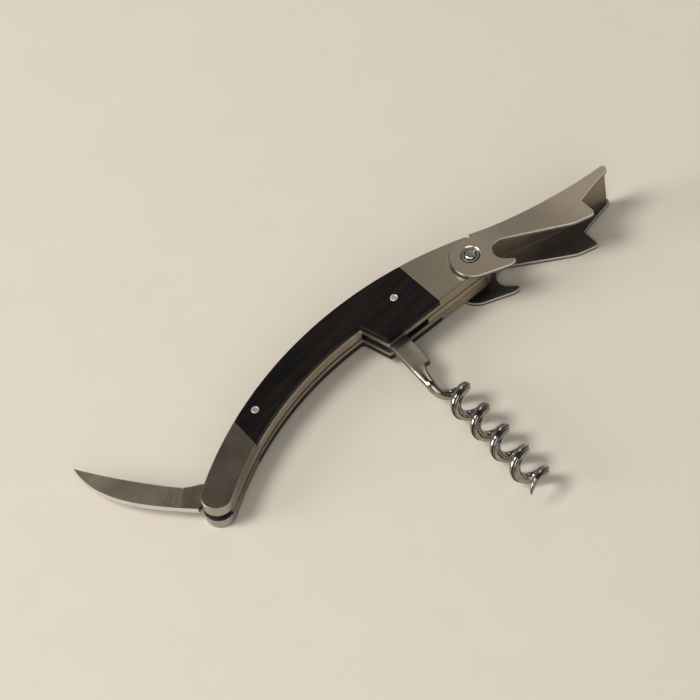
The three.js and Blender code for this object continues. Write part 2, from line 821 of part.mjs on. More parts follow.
function cheekOutline() {
  const round = point(cheekRoundX, cheekRoundY);
  const slot = point(slotCentreX, slotCentreY);
  const armTop = point(armTopX, armTopY);
  const armLow = point(armLowX, armLowY);
  const heel = point(footHeelX, footHeelY);
  const step = point(footStepX, footStepY);
  const footTip = point(footTipX, footTipY);
  const hookTip = point(hookTipX, hookTipY);
  const hookChin = point(hookTipX - hookChinBehindTip, hookTipY - hookChinBelowTip);
  const hookInner = point(hookInnerX, hookInnerY);

  const roundTop = angleTo(round, lineMeetsCircle(webStart, webInward, round, cheekRoundRadius));
  const tangent = Math.acos(cheekRoundRadius / hookChin.distanceTo(round));
  const roundLow = angleTo(round, hookChin) - tangent + 2 * Math.PI;
  const tipStart = angleTo(hookTip, hookChin) + Math.acos(hookTipRadius / hookChin.distanceTo(hookTip));
  const tipEnd = angleTo(slot, hookInner) + Math.PI;
  const slotStart = angleTo(slot, hookInner) + 2 * Math.PI;
  const slotEnd = angleTo(slot, armTop);
  const long = bowed(footTip, step, footStepSag);
  const longStart = angleTo(long.centre, step);
  const longEnd = angleTo(long.centre, footTip) + footTipRadius / long.radius;
  const stepArc = arc(long.centre, long.radius, longStart, longEnd, (longStart - longEnd) / longStepParts);
  const webOut = arc(web.centre, web.radius, webStartAngle, angleTo(web.centre, webEnd)
    - footCornerRadius / web.radius);

  return [
    ...arc(round, cheekRoundRadius, roundTop, roundLow, filletStep / 2),
    hookChin,
    ...arc(hookTip, hookTipRadius, tipStart, tipEnd, filletStep),
    ...arc(slot, slotRadius, slotStart, slotEnd, filletStep),
    ...roundCorner(armTop, armLow, heel, armLowRadius),
    ...roundCorner(armLow, heel, step, footHeelRadius),
    ...stepArc,
    ...roundCorner(stepArc.at(-1), footTip, webEnd, footTipRadius),
    ...roundCorner(footTip, webEnd, webOut.at(-1), footCornerRadius),
    ...webOut.reverse(),
  ];
}

// The inside of the channel: all that lies more than a sheet's thickness under the web's outer side,
// and all that lies past the web's end
function channelRoom() {
  const to = angleTo(web.centre, webEnd) - webSetback / web.radius;
  const inner = arc(web.centre, web.radius + leverSheet, webStartAngle, to);
  const low = Math.min(footHeelY, hookTipY) - overrun * 2;
  const left = cheekRoundX - cheekRoundRadius - overrun;
  const pastEnd = polar(web.centre, web.radius - overrun, to);
  return [
    webStart.clone().sub(webInward.clone().multiplyScalar(overrun)),
    ...inner,
    pastEnd,
    point(webEndX + overrun * 2, pastEnd.y),
    point(webEndX + overrun * 2, low),
    point(left, low),
    point(left, cheekRoundRadius + overrun),
  ];
}

function flareAt(x) {
  return flare * THREE.MathUtils.clamp((x - flareStartX) / (flareEndX - flareStartX), 0, 1);
}

// The hole for the washer through both cheeks, chamfered at each outer face
function cheekHole() {
  const radius = washerOuterRadius + washerClearance;
  const wide = radius + cheekHoleChamfer + overrun;
  const shoulder = cheekOuter - cheekHoleChamfer;
  const half = [
    point(0, 0),
    point(radius, 0),
    point(radius, shoulder),
    point(wide, cheekOuter + overrun),
    point(0, cheekOuter + overrun),
  ];
  const cutter = new THREE.LatheGeometry(half, roundSides);
  cutter.rotateX(Math.PI / 2);
  return solid(cutter).add(solid(mirrored(geometryOf(solid(cutter)))));
}

function bootLever() {
  const channel = slab(cheekOutline(), -cheekOuter, cheekOuter)
    .subtract(slab(channelRoom(), -cheekInner, cheekInner))
    .subtract(cheekHole());
  const edges = [cheekRoundX - cheekRoundRadius - overrun, flareStartX, flareEndX, webEndX + overrun * 2];
  const height = Math.abs(footHeelY) + cheekRoundRadius + webStartY;
  let lever = null;
  for (let i = 0; i < edges.length - 1; i += 1) {
    const window = slab([
      point(edges[i], -height),
      point(edges[i + 1], -height),
      point(edges[i + 1], height),
      point(edges[i], height),
    ], -cheekOuter - overrun, cheekOuter + overrun);
    const bay = spread(geometryOf(channel.intersect(window)));
    lever = lever ? lever.add(bay) : bay;
  }
  return geometryOf(lever);
}

// Each cheek moves out by the flare at its place, and the web stretches between them
function spread(geometry) {
  const position = geometry.attributes.position;
  for (let i = 0; i < position.count; i += 1) {
    const z = position.getZ(i);
    if (Math.abs(z) > cheekInner - mergeDistance()) {
      position.setZ(i, z + Math.sign(z) * flareAt(position.getX(i)));
    }
  }
  return solid(geometry);
}

// Materials

const brushedSteel = new THREE.MeshStandardMaterial({ color: 0x9a9184, roughness: 0.42, metalness: 1 });
const brightSteel = new THREE.MeshStandardMaterial({ color: 0xb9b4ab, roughness: 0.22, metalness: 1 });
const darkWood = new THREE.MeshStandardMaterial({ color: 0x1c1614, roughness: 0.35, metalness: 0 });

// Assembly

const group = new THREE.Group();
group.position.z = handleHalf;

function add(name, geometry, material, parent = group) {
  const mesh = new THREE.Mesh(geometry, material);
  mesh.name = name;
  parent.add(mesh);
  return mesh;
}

function addAt(name, geometry, material, at) {
  add(name, geometry, material).position.set(at.x, at.y, 0);
}

const plate = upperPlate();
const scale = upperScale();
add('upper_plate', plate, brushedSteel);
add('lower_plate', mirrored(plate), brushedSteel);
add('upper_scale', scale, darkWood);
add('lower_scale', mirrored(scale), darkWood);
add('double_spring', doubleSpring(), brushedSteel);
add('back_spacer', backSpacer(), brushedSteel);
add('lever_spring', leverSpring(), brushedSteel);

const scalePin = turnedPin(scalePinRadius, linerInner, handleHalf + scalePinProud, scalePinProud, false);
['knife', 'lever'].forEach((end, i) => {
  addAt(`upper_scale_pin_${end}`, scalePin, brightSteel, scalePins[i]);
  addAt(`lower_scale_pin_${end}`, mirrored(scalePin), brightSteel, scalePins[i]);
});

const hiddenRivet = pin(hiddenRivetRadius, -linerOuter, linerOuter);
const hiddenRivetSets = { spring_rivet: springRivets, spacer_rivet: spacerRivets, lever_spring_rivet: leverSpringRivets };
Object.entries(hiddenRivetSets).forEach(([name, places]) => {
  places.forEach((at, i) => addAt(`${name}_${i + 1}`, hiddenRivet, brushedSteel, at));
});

const pivotPin = pin(pivotPinRadius, -linerOuter, linerOuter);
addAt('knife_pivot_pin', pivotPin, brushedSteel, knifePivot);
addAt('worm_pivot_pin', pivotPin, brushedSteel, wormPivot);

const cheeks = new THREE.Group();
cheeks.position.set(leverPivot.x, leverPivot.y, -leverDrop);
group.add(cheeks);
const rivetEnd = cheekOuter + rivetProud;
const leverRivet = turnedPin(leverRivetRadius, -rivetEnd, rivetEnd, rivetHeadRound, true);
add('lever_rivet', leverRivet, brightSteel, cheeks);
addAt('upper_washer', washer(cheekOuter - leverDrop), brushedSteel, leverPivot);
addAt('lower_washer', mirrored(washer(cheekOuter + leverDrop)), brushedSteel, leverPivot);

const blade = new THREE.Group();
blade.position.set(knifePivot.x, knifePivot.y, 0);
blade.rotation.z = THREE.MathUtils.degToRad(bladeOpenDegrees);
group.add(blade);
add('knife_blade', knifeBlade(), brushedSteel, blade);

const screw = new THREE.Group();
screw.position.set(wormPivot.x, wormPivot.y, 0);
screw.rotation.z = THREE.MathUtils.degToRad(wormOpenDegrees);
group.add(screw);
add('worm', wormSolid(), brightSteel, screw);
console.log(`least gap between the worm's turns: ${leastTurnGap().toFixed(2)} mm`);

add('boot_lever', bootLever(), brushedSteel, cheeks);

export default group;
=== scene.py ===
# Folding lever corkscrew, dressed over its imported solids: worked steel, dark wood and a wound worm.
# The part's own frame is in metres: +X runs along the handle to the lever's rivet, +Z is up.
# Lengths with a name are in millimetres, and turn into metres where they are used.

import json
import math
from contextlib import contextmanager

import bpy
from mathutils import Matrix, Quaternion, Vector

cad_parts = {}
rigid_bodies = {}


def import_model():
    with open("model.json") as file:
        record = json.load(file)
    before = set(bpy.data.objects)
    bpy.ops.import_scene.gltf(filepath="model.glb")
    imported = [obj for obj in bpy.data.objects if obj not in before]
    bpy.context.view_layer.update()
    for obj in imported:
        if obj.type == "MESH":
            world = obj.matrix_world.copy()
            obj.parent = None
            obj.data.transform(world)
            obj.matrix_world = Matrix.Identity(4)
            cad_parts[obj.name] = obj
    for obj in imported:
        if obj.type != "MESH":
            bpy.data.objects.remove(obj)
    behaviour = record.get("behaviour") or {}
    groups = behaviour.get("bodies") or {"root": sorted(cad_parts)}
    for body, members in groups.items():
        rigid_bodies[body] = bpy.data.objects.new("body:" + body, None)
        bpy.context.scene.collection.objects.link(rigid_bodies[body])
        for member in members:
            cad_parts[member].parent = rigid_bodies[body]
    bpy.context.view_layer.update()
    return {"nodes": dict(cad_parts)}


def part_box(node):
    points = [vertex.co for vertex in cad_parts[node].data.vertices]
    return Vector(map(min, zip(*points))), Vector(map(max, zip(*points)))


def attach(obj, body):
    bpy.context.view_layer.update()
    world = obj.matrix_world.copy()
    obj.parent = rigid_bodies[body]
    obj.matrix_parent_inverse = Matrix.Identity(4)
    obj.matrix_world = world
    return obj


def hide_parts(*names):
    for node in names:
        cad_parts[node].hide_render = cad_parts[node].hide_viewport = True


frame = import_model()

MM = 0.001
MIDDLE = 5.05                         # height of the handle's middle plane

# Camera, as it was fitted to the photograph
VIEW_FOCUS = Vector((59.0, 7.4, 5.05))
VIEW_DISTANCE = 921.1
VIEW_HEADING = Vector((0.586, 0.810, 0.0))
VIEW_DROP = math.radians(56)
VIEW_ROLL = math.radians(-12)
VIEW_LENS = 170.55
VIEW_SENSOR = 36.0
VIEW_CLIP = (0.05, 20)                # metres

# The floor's plane touches the knife end, the rivet's head and the lever's foot
REST_TOUCH = Vector((-4.3, 0.0, -0.05))
REST_SLOPE = (-0.0366, -0.0262)
FLOOR_SIZE = 6.0                      # metres
FLOOR_DARK = (0.685, 0.622, 0.52, 1)
FLOOR_LIGHT = (0.725, 0.657, 0.554, 1)
FLOOR_NOISE = (60.0, 3.0, 0.55)       # scale, detail, roughness
FLOOR_ROUGHNESS = 0.8
FLOOR_SPECULAR = 0.1

# The world is bright at the horizon and dark overhead
WORLD_STRENGTH = 0.5
WORLD_LOW = (0.93, 0.95, 1.0, 1)
WORLD_HIGH = (0.12, 0.122, 0.13, 1)
WORLD_DARKENS = (0.1, 0.75)           # upward shares of the direction

# Lamps: name, direction, distance and size in metres, power, colour, aim
LEVER_FOOT = Vector((139.0, 0.0, 9.0))
LAMPS = (
    ("window", (-0.45, 0.29, 0.845), 2.2, 0.9, 28.0, (1.0, 0.99, 0.97), VIEW_FOCUS),
    ("low_window", (-0.80, 0.51, 0.34), 1.0, 0.5, 4.5, (0.96, 0.97, 1.0), VIEW_FOCUS),
    ("room", (-0.5, -0.65, 0.8), 2.0, 2.0, 15.0, (1.0, 0.98, 0.95), VIEW_FOCUS),
    ("reflector", (0.53, 0.41, 0.76), 0.7, 0.3, 0.4, (1.0, 0.96, 0.9), LEVER_FOOT),
)

# How level a face lies: 1 where it looks straight up or down, 0 on a side
SIDE = 0.5
CHEEK = 0.8
FLAT = 0.9
DEAD_FLAT = 0.98
HOLE_WALL = 0.3
HOLE_RIM = 0.95

# Meshes
MERGE_DISTANCE = 0.002
SKIN_MERGE_DISTANCE = 0.0001
FLAT_CUT = math.radians(0.4)          # triangles that differ by less lie in one face
SPIN_STEPS = 64
NORMAL_WEIGHT = 90
EDGE_SLOT = 1                         # a piece's second material goes on its softened edges
NEAR_ZERO = 1e-6

# Softened edges: widths, the steps over each, and the angles in degrees that count as sharp
PLATE_EDGE = 0.1
SCALE_EDGE = 0.06
SPRING_EDGE = 0.2
WASHER_EDGE = 0.05
BLADE_EDGE = 0.12
LEVER_EDGE = 0.24
FOLD_ROUND = 0.55
EDGE_STEPS = 2
LEVER_EDGE_STEPS = 3
FOLD_STEPS = 4
SHARP = 50
BLADE_SHARP = 60
SMOOTH = 50
BLADE_SMOOTH = 30
LEVER_SMOOTH = 36
ROUND_SMOOTH = 40
WORM_SMOOTH = 32

# Handle
LINER_OUT = 2.9                       # outer face of each liner, from the middle plane
LINER_SLACK = 0.05
LINER_IN = 2.4                        # inner half of each liner
SEAMS = ((18.5, 0.5, 19.8, 10.9), (84.86, -2.6, 85.96, 11.3))   # x and y at the belly and the back
SEAM_REACH = 0.35
HALFWAY = 60.0                        # between the two bolsters
END_SHEEN_REACH = 13.0                   # the knife end's painted sheen has faded away here
GAP_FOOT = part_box("double_spring")[0][2] / MM - 0.7
GAP_START = 5.0

# Half sections of the round heads. The pin: radius and height over the middle plane. The rivet: radius
# and depth under its top.
SCALE_PIN = ((0, 1.5), (1.1, 1.5), (1.1, 5.0), (1.09, 5.06), (1.04, 5.09), (0.95, 5.095),
             (0.86, 5.09), (0.82, 5.05), (0.78, 5.04), (0.5, 5.045), (0, 5.05))
PIN_RIM = 0.83
RIVET_HEAD = ((0.0, 0.03), (0.7, 0.035), (1.12, 0.05), (1.26, 0.09), (1.39, 0.17), (1.49, 0.29),
              (1.55, 0.45), (1.56, 0.7))
RIVET_RIM = 1.12

# Foil blade
BLADE_DEGREES = 119.3
RICASSO_END = 9.5
SPINE_START = 5
SPINE_SHARE = 0.7                     # of a normal that looks along the blade's back

# Boot lever
SHEET_MIDDLE = 6.9                    # middle of each cheek's sheet, from the lever's middle plane
FLARE_START = 109.46
FLARE_LENGTH = 17.5
FLARE = 0.9                           # how far each cheek spreads over that length
FLARE_SLOPE = FLARE / FLARE_LENGTH
FLARE_CREASES = ((FLARE_START + FLARE_LENGTH, 6.0, -1), (FLARE_START, 4.0, 1))  # place, half width, way
CREASE_STEP = 2.0
CHEEKS_FROM = 2.5                     # from the middle plane
WEB_SPAN = 8                          # only the web's faces reach this far from cheek to cheek
HOLE_REACH = 3.1
HOLE_WALL_REACH = 2.8

# Worm, along its own axis from its pivot
WORM_ANGLE = math.radians(-99.6)
WIRE_RADIUS = 1.53
COIL_RADIUS = 3.125                   # of the wire's middle
WORM_PITCH = 8.75
WORM_OFFSET = 2.3
WORM_TURNS = 4.96
FIRST_CREST = 29.5
TURN_IN = 6.0
TURN_START = FIRST_CREST - WORM_PITCH / 2 - TURN_IN / 2
WORM_END = FIRST_CREST - WORM_PITCH / 2 + WORM_TURNS * WORM_PITCH
WIRE_STEPS = 64                       # for each turn
TIP_TAPER = 2.6
TIP_RADIUS = 0.34
TIP_TURNS = (25, 50, 72)              # degrees round the tip, to its last rounds
LOOK_AHEAD = 0.1                      # the wire's direction is taken this far ahead and behind
GROOVE_TURN = 30.0                    # of the groove from the outermost side, towards the tip
GROOVE_DEPTH = 0.3
GROOVE_START = 26.5
GROOVE_RUN_IN = 5
GROOVE_SHADE_START = 27.5
HEEL_RADIUS = 3.4
HEEL_FIRST = 6                        # degrees
HEEL_STEPS = 14
PIVOT_HOLE = 1.3
DRILL_LENGTH = 8
NECK_END = 22.5                       # where the neck is round
NECK_BLEND = 5.5                      # over which the round neck thins to the wire
NECK_SHIFT = -0.43
NECK_EXTRA = 0.02
WIDEST_CORNER = 0.95                  # share of the shank's half width

# Rounds of the worm: degrees from its outer side, close together along the groove's two edges
ROUND_HALF = (9, 17, 21, 30, 40, 50, 60, 70, 80, 90, 100, 110, 120, 130, 140, 150, 160, 170)
ROUND = (0, *ROUND_HALF, 180, *(360 - degrees for degrees in reversed(ROUND_HALF)))
GROOVE = {0: 1.0, 9: 1.0, 17: 0.9}    # share of the groove's depth at these degrees
GROOVE_SHADE = (0, 9, 17, 339, 343)   # dark strips, by where they start: the one from 351 is bright

# Shank's sections: place, low side, high side, half thickness, corner radius
SHANK = (
    (0.0, -2.55, 3.15, 1.15, 0.18),
    (8.0, -2.55, 3.15, 1.15, 0.18),
    (12.0, -2.55, 3.15, 1.15, 0.22),
    (15.0, -2.60, 3.15, 1.15, 0.38),
    (16.40, -2.66, 3.15, 1.15, 0.50),
    (16.52, -2.67, 3.12, 1.15, 0.50),
    (16.60, -2.67, 3.00, 1.15, 0.50),
    (16.61, -2.67, 1.50, 1.15, 0.50),
    (16.66, -2.67, 1.30, 1.15, 0.52),
    (16.80, -2.68, 1.20, 1.15, 0.58),
    (17.6, -2.72, 1.03, 1.16, 0.82),
    (18.75, -2.77, 0.77, 1.22, 1.08),
    (19.7, -2.80, 0.57, 1.30, 1.25),
    (20.7, -2.81, 0.42, 1.41, 1.40),
    (21.6, -2.81, 0.34, 1.50, 1.50),
    (NECK_END, -2.805, 0.295, 1.55, 1.55),
)
SHANK_ROOT = 8                        # painted shade up to here, where it leaves the scales
SHANK_SIDES_END = 15.5
SHANK_LOOK_END = 22.4
SHOULDER = (16.5, 16.7)
SHOULDER_SHARE = 0.9                  # of a normal that looks along the worm


# Shaping

def take(piece):
    """Makes the piece the only one picked, in object mode."""
    if bpy.context.object and bpy.context.object.mode != "OBJECT":
        bpy.ops.object.mode_set(mode="OBJECT")
    bpy.ops.object.select_all(action="DESELECT")
    piece.hide_set(False)
    piece.select_set(True)
    bpy.context.view_layer.objects.active = piece


@contextmanager
def whole_mesh(piece):
    """Edit mode with the whole mesh picked, for Blender's mesh tools."""
    take(piece)
    bpy.ops.object.mode_set(mode="EDIT")
    bpy.ops.mesh.select_all(action="SELECT")
    yield bpy.ops.mesh
    bpy.ops.object.mode_set(mode="OBJECT")


def close_up(mesh_tools, distance=MERGE_DISTANCE):
    """Merges the points that lie on one another, and turns every face outwards."""
    mesh_tools.select_all(action="SELECT")
    mesh_tools.remove_doubles(threshold=distance * MM)
    mesh_tools.normals_make_consistent(inside=False)


def use_modifier(piece, kind, **settings):
    take(piece)
    modifier = piece.modifiers.new(kind.title(), kind)
    for key, value in settings.items():
        setattr(modifier, key, value)
    bpy.ops.object.modifier_apply(modifier=modifier.name)


def smooth(piece, degrees=ROUND_SMOOTH):
    take(piece)
    bpy.ops.object.shade_smooth_by_angle(angle=math.radians(degrees))


def settle(piece, body, node):
    """Puts the piece's place into its mesh, gives it the body, and hides the node that it dresses."""
    take(piece)
    bpy.ops.object.transform_apply(location=True, rotation=True, scale=True)
    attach(piece, body)
    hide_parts(node)


def worked_copy(node, name):
    """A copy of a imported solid, merged and freed of the flat cuts between its triangles."""
    take(frame["nodes"][node])
    bpy.ops.object.duplicate(linked=False)
    piece = bpy.context.object
    piece.name = name
    piece.data.name = name
    bpy.ops.object.parent_clear(type="CLEAR_KEEP_TRANSFORM")
    for key in list(piece.keys()):
        del piece[key]
    piece.data.materials.clear()
    with whole_mesh(piece) as mesh_tools:
        mesh_tools.customdata_custom_splitnormals_clear()
        close_up(mesh_tools)
        mesh_tools.dissolve_limited(angle_limit=FLAT_CUT)
    return piece


def new_piece(name, points, edges, faces):
    """A piece from points in millimetres."""
    mesh = bpy.data.meshes.new(name)
    mesh.from_pydata([tuple(point * MM) for point in points], edges, faces)
    piece = bpy.data.objects.new(name, mesh)
    bpy.context.collection.objects.link(piece)
    return piece


def turned(name, profile, centre):
    """A round piece spun from half its section: pairs of radius and height."""
    points = [Vector((radius, 0, height)) for radius, height in profile]
    piece = new_piece(name, points, [(i, i + 1) for i in range(len(points) - 1)], [])
    with whole_mesh(piece) as mesh_tools:
        mesh_tools.spin(steps=SPIN_STEPS, angle=2 * math.pi, center=(0, 0, 0), axis=(0, 0, 1))
        close_up(mesh_tools)
    piece.location = centre
    return piece


def cut_through(piece, at, across):
    """Cuts the piece's faces along a plane, at a place in millimetres, and keeps both sides."""
    with whole_mesh(piece) as mesh_tools:
        mesh_tools.bisect(plane_co=[value * MM for value in at], plane_no=across)


def round_edges(piece, wanted, width, steps):
    """Rounds each edge between two faces for which wanted(face, face) holds."""
    take(piece)
    bpy.ops.object.mode_set(mode="EDIT")
    bpy.ops.mesh.select_mode(type="EDGE")
    bpy.ops.mesh.select_all(action="DESELECT")
    bpy.ops.object.mode_set(mode="OBJECT")
    beside = {}
    for face in piece.data.polygons:
        for key in face.edge_keys:
            beside.setdefault(key, []).append(face)
    for edge in piece.data.edges:
        faces = beside.get(tuple(sorted(edge.vertices)), [])
        edge.select = len(faces) == 2 and wanted(*faces)
    bpy.ops.object.mode_set(mode="EDIT")
    bpy.ops.mesh.bevel(offset=width * MM, segments=steps, affect="EDGES", clamp_overlap=True)
    bpy.ops.object.mode_set(mode="OBJECT")


def paint(piece, *materials):
    piece.data.materials.clear()
    for material in materials:
        piece.data.materials.append(material)


def paint_faces(piece, material, wanted, over=None):
    """Paints the faces for which wanted(face) holds, or only those of them in the paint under it."""
    materials = piece.data.materials
    slot = materials.find(material.name)
    for face in piece.data.polygons:
        if wanted(face) and (over is None or materials[face.material_index] == over):
            face.material_index = slot


def soften(piece, width, steps=EDGE_STEPS, sharp=SHARP, smooth_to=SMOOTH, then=None):
    """Breaks the sharp edges, as tumbling does, and paints the narrow faces with the piece's second
    material, where it has one: a painted highlight or a painted shadow.
    """
    slot = EDGE_SLOT if len(piece.data.materials) > EDGE_SLOT else -1
    use_modifier(piece, "BEVEL", width=width * MM, segments=steps, limit_method="ANGLE",
                 angle_limit=math.radians(sharp), material=slot, miter_outer="MITER_ARC",
                 use_clamp_overlap=True)
    if then:
        then(piece)
    smooth(piece, smooth_to)
    use_modifier(piece, "WEIGHTED_NORMAL", keep_sharp=True, weight=NORMAL_WEIGHT)


def centre_of(node):
    low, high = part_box(node)
    return (Vector(low) + Vector(high)) / 2


def level(face):
    return abs(face.normal.z)


def clamped(share):
    return max(0.0, min(1.0, share))


# Finishes

SURFACE = (("Colour", "Color"), ("Roughness", "Float"), ("Height", "Float"))
RELIEF_DEPTH = 0.02

# Noises: scale, detail, roughness, or the last two where the scale comes from the material. A band is
# the part of a noise's values that is spread over 0 to 1.
GRAIN_NOISE = (2.0, 0.6)
GRAIN_BAND = (0.3, 0.7)
HAZE_NOISE = (95.0, 4.0, 0.6)
HAZE_BAND = (0.35, 0.68)
SPOT_NOISE = (900.0, 2.0, 0.5)
SPOT_BAND = (0.3, 0.7)
SCRATCH_SCALE = (70.0, 420.0, 420.0)
SCRATCH_WIDTH = 0.012
FIBRE_NOISE = (28.0, 2.0, 0.55)       # how the wood's fibres wander
FIBRE_PUSH = (0.0, 0.004, 0.003)      # metres
RING_NOISE = ((40.0, 620.0, 420.0), 4.0, 0.6)
RING_BAND = (0.38, 0.68)
PORE_NOISE = ((260.0, 5200.0, 5200.0), 2.0, 0.5)
PORE_BAND = (0.56, 0.7)

# What the colour, the roughness and the relief are made of
STEEL_COLOUR = (0.55, 0.45)           # haze, grain
STEEL_ROUGHNESS = (0.6, 0.4)          # haze, spots
STEEL_RELIEF = (1.0, -0.8)            # grain, scratches
WOOD_COLOUR = (1.0, -0.5)             # rings, pores
WOOD_ROUGHNESS = (0.5, 0.5)           # rings, pores
WOOD_RELIEF = (-1.0,)                 # pores


def new_group(name, inputs):
    group = bpy.data.node_groups.new(name, "ShaderNodeTree")
    for way, sockets in (("INPUT", inputs), ("OUTPUT", SURFACE)):
        for label, kind in sockets:
            group.interface.new_socket(label, in_out=way, socket_type="NodeSocket" + kind)
    return group, group.nodes.new("NodeGroupInput").outputs, group.nodes.new("NodeGroupOutput").inputs


def stretched(tree, vector, scale):
    node = tree.nodes.new("ShaderNodeVectorMath")
    node.operation = "MULTIPLY"
    tree.links.new(vector, node.inputs[0])
    if isinstance(scale, tuple):
        node.inputs[1].default_value = scale
    else:
        tree.links.new(scale, node.inputs[1])
    return node.outputs[0]


def noise(tree, vector, scale, detail, rough):
    """The outputs of a noise with one scale, or with one along each axis."""
    node = tree.nodes.new("ShaderNodeTexNoise")
    even = isinstance(scale, float)
    node.inputs["Scale"].default_value = scale if even else 1.0
    node.inputs["Detail"].default_value = detail
    node.inputs["Roughness"].default_value = rough
    tree.links.new(vector if even else stretched(tree, vector, scale), node.inputs["Vector"])
    return node.outputs


def ranged(tree, value, low, high, to_low=0.0, to_high=1.0):
    node = tree.nodes.new("ShaderNodeMapRange")
    tree.links.new(value, node.inputs["Value"])
    limits = {"From Min": low, "From Max": high, "To Min": to_low, "To Max": to_high}
    for label, number in limits.items():
        if isinstance(number, float):
            node.inputs[label].default_value = number
        else:
            tree.links.new(number, node.inputs[label])
    return node.outputs["Result"]


def blend(tree, share, first, second):
    node = tree.nodes.new("ShaderNodeMix")
    node.data_type = "RGBA"
    tree.links.new(share, node.inputs["Factor"])
    for socket, colour in ((node.inputs[6], first), (node.inputs[7], second)):
        if isinstance(colour, tuple):
            socket.default_value = colour
        else:
            tree.links.new(colour, socket)
    return node.outputs[2]


def weighed(tree, weights, *values):
    """The sum of values, each times its weight."""
    total = None
    for value, weight in zip(values, weights):
        node = tree.nodes.new("ShaderNodeMath")
        node.operation = "MULTIPLY_ADD"
        tree.links.new(value, node.inputs[0])
        node.inputs[1].default_value = weight
        if total is None:
            node.inputs[2].default_value = 0.0
        else:
            tree.links.new(total, node.inputs[2])
        total = node.outputs[0]
    return total


def worked_steel_group():
    """Belt grain, handling haze and a few fine scratches in steel."""
    group, given, result = new_group("worked_steel", (
        ("Vector", "Vector"), ("Grain", "Vector"), ("Bright", "Color"), ("Dull", "Color"),
        ("Least Roughness", "Float"), ("Most Roughness", "Float")))
    vector = given["Vector"]
    grain = ranged(group, noise(group, vector, given["Grain"], *GRAIN_NOISE)["Fac"], *GRAIN_BAND)
    haze = ranged(group, noise(group, vector, *HAZE_NOISE)["Fac"], *HAZE_BAND)
    spots = ranged(group, noise(group, vector, *SPOT_NOISE)["Fac"], *SPOT_BAND)
    scratch = group.nodes.new("ShaderNodeTexVoronoi")
    scratch.feature = "DISTANCE_TO_EDGE"
    scratch.inputs["Scale"].default_value = 1.0
    scratch.inputs["Randomness"].default_value = 1.0
    group.links.new(stretched(group, vector, SCRATCH_SCALE), scratch.inputs["Vector"])
    scratches = ranged(group, scratch.outputs["Distance"], 0.0, SCRATCH_WIDTH, 1.0, 0.0)
    bright = weighed(group, STEEL_COLOUR, haze, grain)
    group.links.new(blend(group, bright, given["Dull"], given["Bright"]), result["Colour"])
    group.links.new(ranged(group, weighed(group, STEEL_ROUGHNESS, haze, spots), 0.0, 1.0,
                           given["Least Roughness"], given["Most Roughness"]), result["Roughness"])
    group.links.new(weighed(group, STEEL_RELIEF, grain, scratches), result["Height"])
    return group


def dark_wood_group():
    """Close dark wood: long pores, slow rings and a hand-rubbed polish."""
    group, given, result = new_group("dark_wood", (
        ("Vector", "Vector"), ("Light", "Color"), ("Dark", "Color"),
        ("Least Roughness", "Float"), ("Most Roughness", "Float")))
    push = group.nodes.new("ShaderNodeVectorMath")
    push.operation = "MULTIPLY_ADD"
    group.links.new(noise(group, given["Vector"], *FIBRE_NOISE)["Color"], push.inputs[0])
    push.inputs[1].default_value = FIBRE_PUSH
    group.links.new(given["Vector"], push.inputs[2])
    bent = push.outputs[0]
    rings = ranged(group, noise(group, bent, *RING_NOISE)["Fac"], *RING_BAND)
    pores = ranged(group, noise(group, bent, *PORE_NOISE)["Fac"], *PORE_BAND)
    light = weighed(group, WOOD_COLOUR, rings, pores)
    group.links.new(blend(group, light, given["Dark"], given["Light"]), result["Colour"])
    group.links.new(ranged(group, weighed(group, WOOD_ROUGHNESS, rings, pores), 0.0, 1.0,
                           given["Least Roughness"], given["Most Roughness"]), result["Roughness"])
    group.links.new(weighed(group, WOOD_RELIEF, pores), result["Height"])
    return group


def finish(name, group, values, bump, turn=0, fade=None, **shader_values):
    """A material whose colour, roughness and relief come from a shared group with its own values.

    The grain is turned by degrees about Z. A fade is a direction, a start, an end and other values:
    between the start and the end, along the direction, it passes into the other values.
    """
    material = bpy.data.materials.new(name)
    material.use_nodes = True
    tree = material.node_tree
    shader = tree.nodes["Principled BSDF"]
    place = tree.nodes.new("ShaderNodeTexCoord").outputs["Object"]
    mapping = tree.nodes.new("ShaderNodeMapping")
    mapping.inputs["Rotation"].default_value = (0, 0, math.radians(turn))
    tree.links.new(place, mapping.inputs["Vector"])

    def look_with(own_values):
        look = tree.nodes.new("ShaderNodeGroup")
        look.node_tree = group
        tree.links.new(mapping.outputs["Vector"], look.inputs["Vector"])
        for label, value in own_values.items():
            look.inputs[label].default_value = value
        return look.outputs

    look = look_with(values)
    colour, rough = look["Colour"], look["Roughness"]
    if fade:
        direction, start, end, other_values = fade
        other = look_with(other_values)
        along = tree.nodes.new("ShaderNodeVectorMath")
        along.operation = "DOT_PRODUCT"
        along.inputs[1].default_value = direction
        tree.links.new(place, along.inputs[0])
        share = ranged(tree, along.outputs["Value"], start * MM, end * MM)
        colour = blend(tree, share, colour, other["Colour"])
        rough = ranged(tree, share, 0.0, 1.0, rough, other["Roughness"])
    relief = tree.nodes.new("ShaderNodeBump")
    relief.inputs["Strength"].default_value = bump
    relief.inputs["Distance"].default_value = RELIEF_DEPTH * MM
    tree.links.new(look["Height"], relief.inputs["Height"])
    tree.links.new(colour, shader.inputs["Base Color"])
    tree.links.new(rough, shader.inputs["Roughness"])
    tree.links.new(relief.outputs["Normal"], shader.inputs["Normal"])
    for label, value in shader_values.items():
        shader.inputs[label.replace("_", " ")].default_value = value
    return material


STEEL = worked_steel_group()
WOOD = dark_wood_group()

